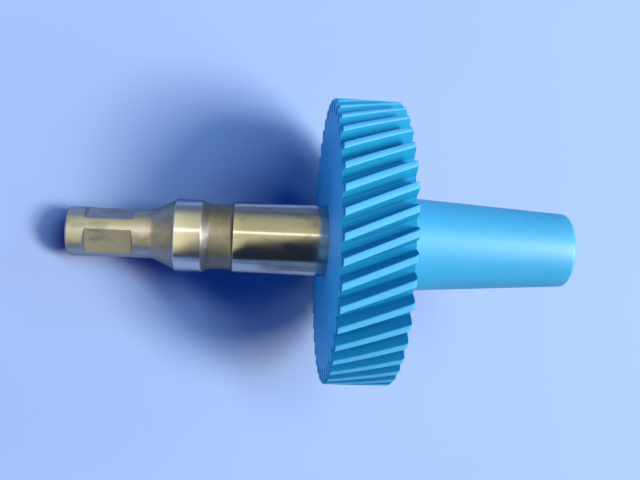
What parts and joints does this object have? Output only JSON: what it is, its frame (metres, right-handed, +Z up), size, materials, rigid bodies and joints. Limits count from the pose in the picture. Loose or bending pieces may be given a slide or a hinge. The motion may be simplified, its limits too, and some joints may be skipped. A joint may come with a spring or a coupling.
{
  "type": "helical gear",
  "caption": "Left-hand helical gear in blue cast nylon on a stainless shaft with a bearing journal and a flatted drive nose, and a tapered sleeve behind the gear.",
  "frame": {"origin": "on the shaft's axis, in the plane of the gear's left face, where the bearing journal ends", "axes": "+X along the shaft towards the tapered sleeve, +Z up, the gear's teeth in the YZ plane"},
  "size_m": [0.2081, 0.1186, 0.1186],
  "materials": {
    "stainless": "turned and polished stainless steel",
    "blue_nylon": "machined cast nylon, satin",
    "key_steel": "bright drawn stainless steel",
    "spring_steel": "phosphated spring steel, dark"
  },
  "bodies": {
    "root": {"shaft": "stainless", "helical_gear": "blue_nylon", "gear_key": "key_steel", "retaining_ring": "spring_steel", "drive_dowels": "key_steel", "tapered_sleeve": "blue_nylon", "end_washer": "key_steel", "lock_washer": "spring_steel", "end_screw": "key_steel", "end_plug": "blue_nylon"}
  },
  "joints": []
}
